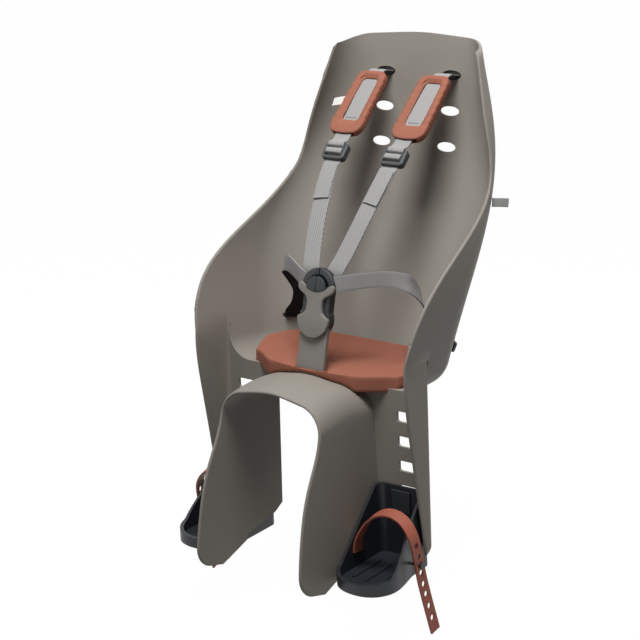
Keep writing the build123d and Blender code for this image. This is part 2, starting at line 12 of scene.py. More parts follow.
import bmesh
import bpy
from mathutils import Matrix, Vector

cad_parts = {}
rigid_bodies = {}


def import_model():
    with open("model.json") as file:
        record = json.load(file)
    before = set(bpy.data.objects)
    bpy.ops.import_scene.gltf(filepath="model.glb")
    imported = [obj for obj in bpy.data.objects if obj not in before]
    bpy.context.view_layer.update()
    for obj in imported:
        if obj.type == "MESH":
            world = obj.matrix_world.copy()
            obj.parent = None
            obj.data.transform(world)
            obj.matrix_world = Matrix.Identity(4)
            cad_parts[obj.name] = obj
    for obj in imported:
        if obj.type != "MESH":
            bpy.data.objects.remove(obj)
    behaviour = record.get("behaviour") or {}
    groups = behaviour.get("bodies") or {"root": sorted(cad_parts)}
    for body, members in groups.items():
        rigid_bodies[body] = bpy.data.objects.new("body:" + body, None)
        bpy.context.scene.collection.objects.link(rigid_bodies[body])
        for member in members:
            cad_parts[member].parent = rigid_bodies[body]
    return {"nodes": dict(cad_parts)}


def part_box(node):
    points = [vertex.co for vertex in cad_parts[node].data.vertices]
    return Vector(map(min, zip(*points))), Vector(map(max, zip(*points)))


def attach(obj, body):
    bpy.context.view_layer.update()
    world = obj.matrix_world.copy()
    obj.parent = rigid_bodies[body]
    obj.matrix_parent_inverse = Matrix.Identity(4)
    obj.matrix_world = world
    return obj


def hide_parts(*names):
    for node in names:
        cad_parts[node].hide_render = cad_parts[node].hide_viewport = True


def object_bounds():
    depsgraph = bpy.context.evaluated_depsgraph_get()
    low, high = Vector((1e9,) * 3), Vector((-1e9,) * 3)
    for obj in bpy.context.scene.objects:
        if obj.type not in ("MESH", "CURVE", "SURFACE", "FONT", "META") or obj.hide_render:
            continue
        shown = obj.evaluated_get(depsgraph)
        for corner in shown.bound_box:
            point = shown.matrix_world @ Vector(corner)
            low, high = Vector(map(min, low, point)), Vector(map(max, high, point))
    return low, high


for leftover in list(bpy.data.objects):
    bpy.data.objects.remove(leftover)
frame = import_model()
cad_box = [list(corner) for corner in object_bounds()]
nodes = frame["nodes"]
MM = 0.001
SIDES = (("left", 1), ("right", -1))
print("solids:", len(nodes), "box:", cad_box)

# %% [markdown]
# ## Writing shaders as sums
# A finish is mostly arithmetic on patterns. Wiring each Math node by hand hides that, so one small class
# wraps a socket: adding or multiplying two of them makes the node, and one method makes every other kind.


# %% A socket that does arithmetic
class Shade:
    """A socket among a material's nodes. Arithmetic on it adds Math nodes."""

    def __init__(self, tree, socket=None):
        self.tree, self.socket = tree, socket

    def node(self, kind, settings=None, inputs=None, output=0):
        """Any node: its type, its settings, then the values or links of its sockets."""
        made = self.tree.nodes.new("ShaderNode" + kind)
        for name, value in (settings or {}).items():
            setattr(made, name, value)
        for name, value in (inputs or {}).items():
            if isinstance(value, Shade):
                self.tree.links.new(value.socket, made.inputs[name])
            else:
                made.inputs[name].default_value = value
        return Shade(self.tree, made.outputs[output] if made.outputs else None)

    def out(self, name):
        """Another output of the same node."""
        return Shade(self.tree, self.socket.node.outputs[name])

    def math(self, operation, first, second=0.0):
        return self.node("Math", {"operation": operation}, {0: first, 1: second})

    def __add__(self, other):
        return self.math("ADD", self, other)

    def __sub__(self, other):
        return self.math("SUBTRACT", self, other)

    def __rsub__(self, other):
        return self.math("SUBTRACT", other, self)

    def __mul__(self, other):
        return self.math("MULTIPLY", self, other)

    def __gt__(self, other):
        return self.math("GREATER_THAN", self, other)

    __radd__ = __add__
    __rmul__ = __mul__

    def blend(self, low, high):
        """Two colours, mixed by this value."""
        return self.node("Mix", {"data_type": "RGBA"}, {0: self, 6: low, 7: high}, 2)


def paint(red, green, blue):
    """A colour as it is seen, 0 to 255, as the linear values a shader takes."""
    return tuple((value / 255) ** 2.2 for value in (red, green, blue)) + (1.0,)


def finish(name, **constants):
    """A new material: its nodes to build on, and its shader's sockets."""
    material = bpy.data.materials.new(name)
    material.use_nodes = True
    sockets = material.node_tree.nodes["Principled BSDF"].inputs
    for socket, value in constants.items():
        sockets[socket.replace("_", " ")].default_value = value
    print("finish:", name)
    return material, Shade(material.node_tree), sockets


def feed(sockets, **values):
    for socket, value in values.items():
        value.tree.links.new(value.socket, sockets[socket.replace("_", " ")])


# %% [markdown]
# ## Moulded plastic
# The shell is polypropylene from a lightly etched mould: matt, with a fine grain that breaks up highlights
# and a slow drift in tone. The grain could be modelled, but at about a millimetre it only changes how light
# scatters, so a bump from fine noise on Object coordinates does it. The same recipe in other colours serves
# every moulding, the rubber and the sewing thread.


# %% Plastic finishes
def moulded(name, low, high, rough, grain_size, grain_depth, specular):
    material, shade, sockets = finish(name, Specular_IOR_Level=specular)
    place = shade.node("TexCoord", output="Object")
    drift = shade.node("TexNoise", None, {"Vector": place, "Scale": 7.0, "Detail": 3.0})
    grain = shade.node("TexNoise", None, {"Vector": place, "Scale": 1 / grain_size, "Detail": 2.0})
    bump = shade.node("Bump", None, {"Strength": 0.5, "Distance": grain_depth, "Height": grain}, "Normal")
    feed(sockets, Base_Color=drift.blend(paint(*low), paint(*high)),
         Roughness=rough - 0.05 + grain * 0.1 + drift * 0.04, Normal=bump)
    return material


shell_plastic = moulded("shell_plastic", (146, 141, 133), (154, 149, 141), 0.5, 0.9 * MM, 0.05 * MM, 0.15)
cover_plastic = moulded("cover_plastic", (130, 126, 120), (137, 133, 127), 0.45, 0.8 * MM, 0.04 * MM, 0.4)
dark_plastic = moulded("dark_plastic", (44, 46, 49), (54, 56, 59), 0.45, 0.8 * MM, 0.05 * MM, 0.45)
foot_plastic = moulded("foot_plastic", (38, 40, 45), (45, 47, 52), 0.4, 1.0 * MM, 0.06 * MM, 0.45)
slider_plastic = moulded("slider_plastic", (70, 73, 75), (78, 81, 83), 0.42, 0.8 * MM, 0.05 * MM, 0.4)

# %% [markdown]
# ## Foam, rubber, steel and cloth
# The pads and the cushion are closed-cell foam, brick red and almost chalky, with pores that catch a little
# light. The foot straps are the same red in rubber. Steel shows only at the clamp underneath.

# %% Foam, rubber and steel finishes
foam, shade, sockets = finish("foam", Specular_IOR_Level=0.25)
place = shade.node("TexCoord", output="Object")
drift = shade.node("TexNoise", None, {"Vector": place, "Scale": 14.0, "Detail": 4.0})
pores = shade.node("TexVoronoi", None, {"Vector": place, "Scale": 900.0})
feed(sockets, Base_Color=(drift * 0.8 + pores * 0.3).blend(paint(148, 92, 75), paint(163, 105, 86)),
     Roughness=0.66 + drift * 0.12,
     Normal=shade.node("Bump", None, {"Strength": 0.4, "Distance": 0.08 * MM, "Height": pores}, "Normal"))

strap_rubber = moulded("strap_rubber", (158, 86, 68), (172, 98, 79), 0.5, 1.2 * MM, 0.06 * MM, 0.4)

steel, shade, sockets = finish("steel", Metallic=1.0)
place = shade.node("TexCoord", output="Object")
streaks = shade.node("TexNoise", None, {"Vector": place, "Scale": 260.0, "Detail": 3.0})
feed(sockets, Base_Color=streaks.blend(paint(168, 168, 166), paint(196, 196, 194)),
     Roughness=0.26 + streaks * 0.16)

# %% [markdown]
# ## Webbing
# Harness webbing is a heavy flat weave: ribs along its length, crossed by picks a millimetre or two apart.
# The pattern has to follow the strap round every bend, so the material reads the strap's own UV map, which
# holds metres across and along. Two waves multiplied give the over-and-under of the yarns.


# %% Woven finishes
def woven(name, low, high, yarn, depth):
    material, shade, sockets = finish(name, Specular_IOR_Level=0.2)
    across = shade.node("SeparateXYZ", None, {"Vector": shade.node("TexCoord", output="UV")}, "X")
    along = across.out("Y")
    turn = 2 * math.pi / yarn
    weave = shade.math("SINE", across * turn) * shade.math("SINE", along * turn)
    fuzz = shade.node("TexNoise", None, {"Vector": shade.node("TexCoord", output="UV"), "Scale": 1500.0})
    height = weave * 0.35 + fuzz * 0.5 + 0.25
    feed(sockets, Base_Color=height.blend(paint(*low), paint(*high)), Roughness=0.72 + fuzz * 0.15,
         Normal=shade.node("Bump", None, {"Strength": 0.7, "Distance": depth, "Height": height}, "Normal"))
    return material


webbing_grey = woven("webbing_grey", (112, 111, 110), (196, 195, 193), 3.4 * MM, 0.3 * MM)
# The back webbing is near-black as painted shade: it stands for the shadow on the waist strap's back face.
webbing_back_painted_shade = woven("webbing_back_painted_shade", (26, 27, 29), (46, 47, 49), 2.0 * MM, 0.2 * MM)
white_cloth = woven("white_cloth", (206, 205, 200), (232, 231, 227), 0.8 * MM, 0.08 * MM)
grey_cloth = woven("grey_cloth", (196, 196, 192), (226, 226, 222), 0.8 * MM, 0.08 * MM)
thread = moulded("thread", (46, 47, 49), (66, 67, 69), 0.7, 0.8 * MM, 0.05 * MM, 0.2)

# %% [markdown]
# ## Small helpers
# Every new piece ends the same way: its bmesh becomes an object at the origin, takes a material, rides on the
# body that carries it, and stands in for a solid where there is one.


# %% From bmesh to a riding piece
SHARP = math.radians(38)
SOFT = math.cos(SHARP)
SAME_POINT = 0.01 * MM


def piece(name, mesh, materials, body, node=None):
    data = bpy.data.meshes.new(name)
    mesh.to_mesh(data)
    mesh.free()
    made = bpy.data.objects.new(name, data)
    bpy.context.scene.collection.objects.link(made)
    for material in materials:
        data.materials.append(material)
    for face in data.polygons:
        face.use_smooth = True
    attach(made, body)
    if node:
        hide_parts(node)
    return made


def solid_copy(node):
    """A CAD node's mesh as a bmesh: loose triangles joined, the exact normals kept on their corners."""
    data = nodes[node].data
    mesh = bmesh.new()
    mesh.from_mesh(data)
    exact = mesh.loops.layers.float_vector.new("exact")
    for face, polygon in zip(mesh.faces, data.polygons):
        for loop, corner in zip(face.loops, polygon.loop_indices):
            loop[exact] = data.corner_normals[corner].vector
    bmesh.ops.remove_doubles(mesh, verts=mesh.verts, dist=SAME_POINT)
    return mesh


def soften(mesh):
    """Averages the exact normals that meet at a point, except across a sharp edge."""
    exact = mesh.loops.layers.float_vector["exact"]
    for vert in mesh.verts:
        kept = [(loop, loop[exact].copy()) for loop in vert.link_loops if loop[exact].length_squared]
        for loop, normal in kept:
            loop[exact] = sum((other for _, other in kept if other.dot(normal) > SOFT), Vector()).normalized()


def use_exact(made):
    """Shades a piece by the normals kept on its corners. A zero there leaves the corner to Blender."""
    kept = made.data.attributes["exact"]
    normals = [tuple(corner.vector) for corner in kept.data]
    made.data.attributes.remove(kept)
    made.data.normals_split_custom_set(normals)


def modifier(target, kind, **settings):
    made = target.modifiers.new(kind.title(), kind)
    for name, value in settings.items():
        setattr(made, name, value)


def dress(material, *names):
    """Gives CAD nodes a finish, their shape as it is."""
    for name in names:
        data = nodes[name].data
        data.materials.clear()
        data.materials.append(material)
    print(material.name, "on solids:", len(names))


# %% [markdown]
# ## The shell and its rounded lip
# A moulded bucket has no sharp edges: its open rim is a full round, and that round draws the bright line
# along the lip. The solid ends in flat faces one wall thick. Bevelling such a triangle mesh is fragile, so
# the flat rim faces are found instead, as narrow strips between sharp edges. The hairline ledge where each
# leg guard runs into the bucket is welded shut first.

# %% Find the rim's flat strips
WALL = 5.0 * MM
NARROWEST = 0.25 * WALL
WIDEST = 1.25 * WALL
GUARD_JOIN_Z = 92.0
GUARD_JOIN_SIDE = 185.0
WELD = 1.1

mesh = solid_copy("seat_shell")
ledge = [v for v in mesh.verts
         if abs(v.co.z / MM - GUARD_JOIN_Z) < WELD and abs(v.co.x) > GUARD_JOIN_SIDE * MM]
bmesh.ops.remove_doubles(mesh, verts=ledge, dist=WELD * MM)
mesh.normal_update()
groups, met = [], set()
for seed in mesh.faces:
    if seed in met:
        continue
    met.add(seed)
    group, queue = [], [seed]
    while queue:
        face = queue.pop()
        group.append(face)
        for edge in face.edges:
            if len(edge.link_faces) == 2 and edge.calc_face_angle(0) < SHARP:
                for other in edge.link_faces:
                    if other not in met:
                        met.add(other)
                        queue.append(other)
    groups.append(group)

strips = []
for group in groups:
    inside = set(group)
    border = sum(e.calc_length() for f in group for e in f.edges
                 if any(o not in inside for o in e.link_faces))
    area = sum(f.calc_area() for f in group)
    if NARROWEST < 2 * area / border < WIDEST:
        strips.append(group)
print("faces:", len(mesh.faces), "groups:", len(groups), "rim strips:", len(strips))

# %% [markdown]
# Each strip is now cut lengthwise, and the cuts are lifted to a half round, up to half a wall high. The open
# rim gets the full round, and the edges of the slots only a slight one. Faces of the rim lose their exact
# normals, because the round has new ones.

# %% Cut and lift one strip
CUTS = 3
exact = mesh.loops.layers.float_vector["exact"]


def half_round(group, swell):
    """Cuts the edges that cross a strip. Gives the triangles to split, and each cut's new place."""
    inside = set(group)
    for face in group:
        for loop in face.loops:
            loop[exact] = (0, 0, 0)
    rungs = dict.fromkeys(e for f in group for e in f.edges if all(o in inside for o in e.link_faces))
    fans = []
    for face in group:
        mine = [e for e in face.edges if e in rungs]
        if len(mine) == 2:
            shared = next(v for v in mine[0].verts if v in mine[1].verts)
            fans.append((shared, mine[0], mine[1]))
    made = {}
    for edge in rungs:
        start, end = edge.verts
        here, there = start.co.copy(), end.co.copy()
        lift = min(swell, (there - here).length)
        up = sum((f.normal for f in edge.link_faces), Vector()).normalized() * lift
        row = []
        for step in range(1, CUTS + 1):
            vert = bmesh.utils.edge_split(edge, row[-1][0] if row else start, 1 / (CUTS + 2 - step))[1]
            part = step / (CUTS + 1)
            row.append((vert, here.lerp(there, part) + up * math.sqrt(part * (1 - part))))
        made[edge] = (start, row)
    return fans, made


# %% Swell the rim
LARGE_RIM = 120 * MM
SLIGHT = 0.2


def span(group):
    corners = [v.co for f in group for v in f.verts]
    return max(max(c[k] for c in corners) - min(c[k] for c in corners) for k in range(3))


def touching(group, points):
    return any(v in points for f in group for v in f.verts)


open_rim = [f for group in strips if span(group) > LARGE_RIM for f in group]
rim_points = {v for f in open_rim for v in f.verts}
slots = [group for group in strips if not touching(group, rim_points)]
open_rim = [f for group in strips if touching(group, rim_points) for f in group]
rim_verts = 0
for group, swell in [(open_rim, WALL)] + [(slot, WALL * SLIGHT) for slot in slots]:
    fans, made = half_round(group, swell)
    for shared, first, second in fans:
        rows = [[vert for vert, place in (row if start == shared else reversed(row))]
                for start, row in (made[first], made[second])]
        for left, right in zip(*rows):
            face = next((f for f in left.link_faces if f in right.link_faces), None)
            if face:
                bmesh.utils.face_split(face, left, right)
    for start, row in made.values():
        for vert, place in row:
            vert.co = place
            rim_verts += 1
bmesh.ops.triangulate(mesh, faces=[f for f in mesh.faces if len(f.verts) > 4])
print("rim points:", rim_verts)

# %% Hand over the shell
soften(mesh)
shell = piece("seat_shell_moulding", mesh, [shell_plastic], "seat", "seat_shell")
shell.data.set_sharp_from_angle(angle=SHARP)
use_exact(shell)
print("shell faces:", len(shell.data.polygons))

# %% [markdown]
# ## Foam
# The cushion and the shoulder pads are moulded foam: soft-edged solids, not sewn covers. Cloth would fold and
# hang, which foam doesn't, so each starts as a copy of its solid. A voxel remesh gives it an even skin,
# smoothing rounds its edges, and then points are moved for forms that are too soft to draw as a solid.


# %% A foam skin
def foam_skin(name, node, voxel, rounds, shape):
    made = piece(name, solid_copy(node), [foam], "seat", node)
    modifier(made, "REMESH", mode="VOXEL", voxel_size=voxel)
    skin = bpy.data.meshes.new_from_object(made.evaluated_get(bpy.context.evaluated_depsgraph_get()))
    made.modifiers.clear()
    mesh = bmesh.new()
    mesh.from_mesh(skin)
    for turn in range(rounds):
        bmesh.ops.smooth_vert(mesh, verts=mesh.verts, factor=0.5,
                              use_axis_x=True, use_axis_y=True, use_axis_z=True)
    for vert in mesh.verts:
        vert.co = shape(vert.co)
    mesh.to_mesh(made.data)
    mesh.free()
    bpy.data.meshes.remove(skin)
    made.data.materials.clear()
    made.data.materials.append(foam)
    for face in made.data.polygons:
        face.use_smooth = True
    print(name, "faces:", len(made.data.polygons))


def ease(value, start, end):
    """0 before start, 1 after end, and smooth between."""
    part = min(max((value - start) / (end - start), 0.0), 1.0)
    return part * part * (3 - 2 * part)


# %% [markdown]
# The cushion is one block of foam. It thins towards the front, over the crown of the wheel tunnel, and its
# front corners are drawn back. Sculpting could do that, but smooth ramps say it in numbers: each pair below
# is where a change starts and ends, in millimetres.

# %% Cushion
CUSHION_VOXEL = 1.6 * MM
CUSHION_ROUNDS = 24
THINNED = 11.0
THIN_FORWARD = (40, 96)
THIN_SIDE = (66, 120)
THIN_HEIGHT = (55, 63)
ROUNDED = 14.0
ROUND_SIDE = (80, 136)
ROUND_FORWARD = (30, 90)


def cushion_shape(place):
    """Thins the cushion towards its front edge, and draws its front corners back."""
    x, y, z = place / MM
    crown = ease(-y, *THIN_FORWARD) * (1 - ease(abs(x), *THIN_SIDE))
    corner = ease(abs(x), *ROUND_SIDE) * ease(-y, *ROUND_FORWARD)
    return place + Vector((0, ROUNDED * corner, -THINNED * crown * ease(z, *THIN_HEIGHT))) * MM


foam_skin("seat_cushion_foam", "seat_cushion", CUSHION_VOXEL, CUSHION_ROUNDS, cushion_shape)

# %% [markdown]
# A shoulder pad is a foam frame round a window that shows the webbing. Its sides carry grip waves, its lower
# end is round, and the window's edge slopes in. Cutting all that from a block would leave hard edges, so a
# function moves the points of the soft skin, in the pad's own plane: across, up and out.

# %% Shoulder pads
PAD_VOXEL = 1.3 * MM
PAD_ROUNDS = 2
PAD_ORIGIN = Vector((59, 78, 404)) * MM
PAD_UP = Vector((0, 69, 70)).normalized()
PAD_OUT = Vector((0, -70, 69)).normalized()
PAD_MIDDLE = 55.0
PAD_HALF = 61.0
PAD_SIDE = 29.0
PAD_SHIFT = 1.5
PAD_FRONT = (0.0, 5.5)
PAD_TAPER = 0.07
WAVE = 15.0
WAVE_ENDS = (42, 52)
WAVE_EDGE = (17, 29)
WAVE_SIDEWAYS = 0.9
WAVE_OUTWARD = 0.7
WINDOW_MIDDLE = 4.0
WINDOW_SIDE = 12.5
WINDOW_HALF = 36.0
WINDOW_DEPTH = (1.5, 4.5)
WINDOW_SLOPE = (0.45, 1.0)
FADE_UP = 10
FADE_ACROSS = 8
WIDEN = 2.0
LENGTHEN = 7.0
SINK = 3.5
LOW_START = 0.6
LOW_ROUND = 6
LOW_WIDTH = 31
LOW_THIN = 0.12


def pad_shape(side):
    """Moves a point of a pad: window with a sloping edge, narrow top, round lower end, grip waves."""
    def shape(place):
        local = place - Vector((side * PAD_ORIGIN.x, PAD_ORIGIN.y, PAD_ORIGIN.z))
        x = side * local.x / MM - PAD_SHIFT
        y = local.dot(PAD_UP) / MM - PAD_MIDDLE
        z = local.dot(PAD_OUT) / MM
        up = y - WINDOW_MIDDLE
        end = PAD_HALF - math.copysign(WINDOW_MIDDLE, up)
        frame_side = min(max((PAD_SIDE - abs(x)) / (PAD_SIDE - WINDOW_SIDE), 0.0), 1.0)
        frame_end = min(max((end - abs(up)) / (end - WINDOW_HALF), 0.0), 1.0)
        beside = 1 - ease(abs(up), WINDOW_HALF, WINDOW_HALF + FADE_UP)
        above = 1 - ease(abs(x), WINDOW_SIDE, WINDOW_SIDE + FADE_ACROSS)
        opened = ease(z, *WINDOW_DEPTH)
        bevel = ease(max(frame_side * beside, frame_end * above), *WINDOW_SLOPE)
        edge = ease(abs(x), *WAVE_EDGE)
        low = max(0.0, -y / PAD_HALF - LOW_START) / (1 - LOW_START)
        wave = math.cos(2 * math.pi * y / WAVE) * (1 - ease(abs(y), *WAVE_ENDS))
        new_x = x + math.copysign(frame_side * beside * opened * WIDEN, x)
        new_x = new_x * (1 - PAD_TAPER * y / PAD_HALF) + math.copysign(edge * wave * WAVE_SIDEWAYS, x)
        new_y = y + math.copysign(frame_end * above * opened * LENGTHEN, up)
        new_y -= LOW_ROUND * low * (1 - (x / LOW_WIDTH) ** 2)
        new_z = z + WAVE_OUTWARD * wave * edge * ease(z, *PAD_FRONT) - SINK * bevel * opened
        new_z -= LOW_THIN * low * max(0.0, z)
        moved = Vector((side * (new_x - x), 0, 0)) + PAD_UP * (new_y - y) + PAD_OUT * (new_z - z)
        return place + moved * MM
    return shape


for word, side in SIDES:
    foam_skin(f"shoulder_pad_foam_{word}", f"shoulder_pad_{word}", PAD_VOXEL, PAD_ROUNDS, pad_shape(side))

# %% [markdown]
# ## Harness webbing
# Every strap is the same thing: a flat band that follows a route through space, its width turned as the
# strap twists. A curve with a bevel could do it, but twists then come as they will. So a grid is laid along
# the route row by row, with its UV map in metres to keep the weave's scale, and Solidify gives the thickness.


# %% A band along a route
ACROSS = 6
NEARBY = 0.004
FOLD = math.radians(50)


def along(points, part):
    """A point on a smooth line through the given points."""
    last = len(points) - 1
    step = min(int(part * last), last - 1)
    f = part * last - step
    before, here, there, after = (points[min(max(step + k, 0), last)] for k in (-1, 0, 1, 2))
    return 0.5 * (2 * here + (there - before) * f + (2 * before - 5 * here + 4 * there - after) * f * f
                  + (3 * here - before - 3 * there + after) * f ** 3)


def soft_edge(made, width):
    modifier(made, "BEVEL", width=width * MM, segments=2, limit_method="ANGLE", angle_limit=FOLD)


def band(name, route, across, width, thick, materials, body, node, rows, round_edge):
    """A strap: route in millimetres, across the direction of its width at each point of the route."""
    points = [Vector(p) * MM for p in route]
    turns = across if isinstance(across, list) else [across] * len(route)
    turns = [Vector(a).normalized() for a in turns]
    length = sum((b - a).length for a, b in zip(points, points[1:]))
    mesh = bmesh.new()
    bmesh.ops.create_grid(mesh, x_segments=ACROSS, y_segments=rows, size=0.5, calc_uvs=True)
    uv = mesh.loops.layers.uv.verify()
    reach = max(v.co.x for v in mesh.verts)
    far = max(v.co.y for v in mesh.verts)
    for face in mesh.faces:
        for loop in face.loops:
            flat = loop.vert.co
            loop[uv].uv = (flat.x / reach / 2 * width * MM, (flat.y / far / 2 + 0.5) * length)
    for vert in mesh.verts:
        part = vert.co.y / far / 2 + 0.5
        place = along(points, part)
        ahead = along(points, min(part + NEARBY, 1.0)) - along(points, max(part - NEARBY, 0.0))
        wide = along(turns, part)
        wide = (wide - ahead * wide.dot(ahead) / ahead.length_squared).normalized()
        vert.co = place + wide * (vert.co.x / reach / 2 * width * MM)
    made = piece(name, mesh, materials, body, node)
    modifier(made, "SOLIDIFY", thickness=thick * MM, offset=0.0, material_offset=len(materials) - 1)
    if round_edge:
        soft_edge(made, round_edge)
    print(name, "length:", round(length, 3))
    return made


def mirrored(points, side):
    return [(side * x, y, z) for x, y, z in points]


# %% [markdown]
# The shoulder strap comes from behind the backrest through its slot, runs under the pad, climbs over one bar
# of the slider and dives under the next, and ends behind the buckle's ring. The waist strap leaves the ring
# sideways, folds back and goes down to its keeper. Its front is grey, and its back is near-black as painted
# shade for the shaded side of the fold, so the fold shows both. A simulation would need the pull of the real
# harness, so the routes are points given one by one.

# %% Routes of the straps
SLIDER = Vector((56.4, 48, 369.5))
SLIDER_OUT = Vector((0, -50, 44)).normalized()
SLIDER_UP = Vector((0, 44, 50)).normalized()
SLIDER_LEAN = 0.09
OVER_BARS = (
    (17.5, 5.5), (14.8, 8.3), (9.6, 8.3), (8.0, 5.5), (6.0, 1.0), (4.0, 5.5), (2.4, 8.3), (-3.4, 8.3),
    (-5.0, 5.5), (-7.0, 0.8), (-9.5, 0.3), (-14, 0.2),
)
STRAP = [
    (63.5, 199.6, 487), (63.5, 188, 488.5), (63.2, 172, 490), (62.5, 158, 483), (61.5, 140, 466.5),
    (60, 105, 431), (58.8, 75, 401), (57.6, 62.5, 389),
]
for up, out in OVER_BARS:
    spot = SLIDER + SLIDER_UP * up + SLIDER_OUT * out
    STRAP.append(tuple(spot + Vector((up * SLIDER_LEAN, 0, 0))))
STRAP += [
    (53.6, 26.5, 345.5), (50.5, 12, 326), (45, -8, 297), (38.5, -29, 263), (31, -47, 231),
    (25.5, -57.5, 213), (22.5, -61.2, 204), (21, -62.2, 196),
]
TAIL = [(54.2, 30.5, 354.2), (51.5, 13.5, 332.2), (48, -2, 310.2), (47, -6, 305.2)]
WAIST = [
    (28.5, -70, 187), (43, -63, 190), (64, -49, 194), (95, -27, 197), (120, -6, 190), (124, 22, 166),
    (122, 38, 142), (130, 45, 117), (144.5, 47.5, 99), (149, 54, 89.5), (155.5, 60.5, 85.9),
]
WAIST_TURN = [
    (0.1, 0.1, 1), (0.1, 0.1, 1), (0.1, 0.1, 1), (0.1, 0.15, 1), (-0.1, 0.25, 1), (-0.4, 0.4, 0.7),
    (-0.6, 0.5, 0.5), (-0.7, 0.55, 0.3), (-0.7, 0.6, 0.1), (-0.7, 0.7, 0), (-0.7, 0.7, 0),
]
print("points of the routes:", len(STRAP), len(TAIL), len(WAIST))

# %% Shoulder and waist straps
STRAP_WIDTH = 29.5
STRAP_ROWS = 150
TAIL_WIDTH = 28
TAIL_ROWS = 24
WAIST_WIDTH = 25.5
WAIST_ROWS = 70
WEB_THICK = 1.7
WEB_EDGE = 0.35
LEVEL = (1, 0, 0)

for word, side in SIDES:
    band(f"shoulder_webbing_{word}", mirrored(STRAP, side), LEVEL, STRAP_WIDTH, WEB_THICK, [webbing_grey],
         "seat", f"shoulder_strap_{word}", STRAP_ROWS, WEB_EDGE)
    band(f"tail_webbing_{word}", mirrored(TAIL, side), LEVEL, TAIL_WIDTH, WEB_THICK, [webbing_grey],
         "seat", f"strap_tail_{word}", TAIL_ROWS, WEB_EDGE)
    # The waist straps' back faces take the painted-shade webbing, so the shaded side of the fold is painted
    # dark.
    faces = [webbing_back_painted_shade, webbing_grey][::side]
    band(f"waist_webbing_{word}", mirrored(WAIST, side), mirrored(WAIST_TURN, side), WAIST_WIDTH, WEB_THICK,
         faces, "seat", f"waist_strap_{word}", WAIST_ROWS, WEB_EDGE)

# %% [markdown]
# A row of dark stitches crosses the webbing near the lower end of each pad's window. Drawn in the weave they
# would lie flat, so each stitch is a small flattened bead on the webbing's face.

# %% Stitch rows
STITCHES = 8
STITCH_PITCH = 2.6
STITCH_UP = 22.0
STITCH_OUT = 1.0
STITCH_SHIFT = 1.0
BEAD_TALL = 0.55
BEAD_FLAT = 0.4
for word, side in SIDES:
    mesh = bmesh.new()
    row = PAD_ORIGIN / MM + PAD_UP * STITCH_UP + PAD_OUT * STITCH_OUT
    for k in range(STITCHES):
        bead = bmesh.ops.create_uvsphere(mesh, u_segments=10, v_segments=6, radius=1.0)["verts"]
        across = (k - (STITCHES - 1) / 2) * STITCH_PITCH + STITCH_SHIFT
        for vert in bead:
            spot = row + PAD_UP * vert.co.y * BEAD_TALL + PAD_OUT * vert.co.z * BEAD_FLAT
            vert.co = Vector((side * (spot.x + across + vert.co.x), spot.y, spot.z)) * MM
    bmesh.ops.recalc_face_normals(mesh, faces=mesh.faces)
    piece(f"pad_stitches_{word}", mesh, [thread], "seat")
print("stitches:", 2 * STITCHES)

# %% [markdown]
# ## Foot straps
# The foot straps are one rubber band each, with a row of oval holes that hook over a stud. The band is laid
# like the webbing, only thicker. Holes in a bent band are slow to model face by face, so a Boolean cuts them,
# with oval pegs that stand square to the band.


# %% A cut with pegs
def cut_away(target, pegs):
    """Takes the pegs' bmesh out of the target and keeps the result as its mesh."""
    data = bpy.data.meshes.new("pegs")
    pegs.to_mesh(data)
    pegs.free()
    tool = bpy.data.objects.new("pegs", data)
    bpy.context.scene.collection.objects.link(tool)
    modifier(target, "BOOLEAN", object=tool, operation="DIFFERENCE", solver="EXACT")
    cut = bpy.data.meshes.new_from_object(target.evaluated_get(bpy.context.evaluated_depsgraph_get()))
    target.modifiers.clear()
    old, target.data = target.data, cut
    bpy.data.meshes.remove(old)
    bpy.data.objects.remove(tool)
    bpy.data.meshes.remove(data)


# %% Rubber straps
FOOT_STRAP = [
    (111.8, -122, -212), (115.6, -122, -186), (136, -122, -153), (164, -121, -138), (192, -120, -143),
    (210, -118, -166), (214.5, -110, -200), (215.5, -96, -248), (221, -68, -333),
]
FOOT_TURN = (0.1, 1, 0.3)
FOOT_WIDTH = 20
FOOT_ROWS = 90
RUBBER_THICK = 3.0
RUBBER_EDGE = 0.5
HOLES = (0.69, 0.75, 0.79, 0.83, 0.875, 0.9025, 0.93, 0.9575)
HOLE_ALONG = 5.5
HOLE_ACROSS = 4.0
PEG_LENGTH = 12
PEG_NEARBY = 0.003
for word, side in SIDES:
    route = mirrored(FOOT_STRAP, side)
    wide = mirrored([FOOT_TURN], side)[0]
    strap = band(f"foot_strap_rubber_{word}", route, wide, FOOT_WIDTH, RUBBER_THICK, [strap_rubber],
                 f"footrest_{word}", f"foot_strap_{word}", FOOT_ROWS, 0)
    points = [Vector(p) * MM for p in route]
    pegs = bmesh.new()
    for part in HOLES:
        run = (along(points, part + PEG_NEARBY) - along(points, part - PEG_NEARBY)).normalized()
        broad = Vector(wide)
        broad = (broad - run * broad.dot(run)).normalized()
        centre, axis = along(points, part), run.cross(broad)
        peg = bmesh.ops.create_cone(pegs, cap_ends=True, segments=20, radius1=1, radius2=1, depth=1)["verts"]
        for vert in peg:
            x, y, z = vert.co
            spot = run * x * HOLE_ALONG + broad * y * HOLE_ACROSS + axis * z * PEG_LENGTH
            vert.co = centre + spot * MM
    bmesh.ops.recalc_face_normals(pegs, faces=pegs.faces)
    cut_away(strap, pegs)
    soft_edge(strap, RUBBER_EDGE)
    strap.data.set_sharp_from_angle(angle=FOLD)
print("holes in each foot strap:", len(HOLES))
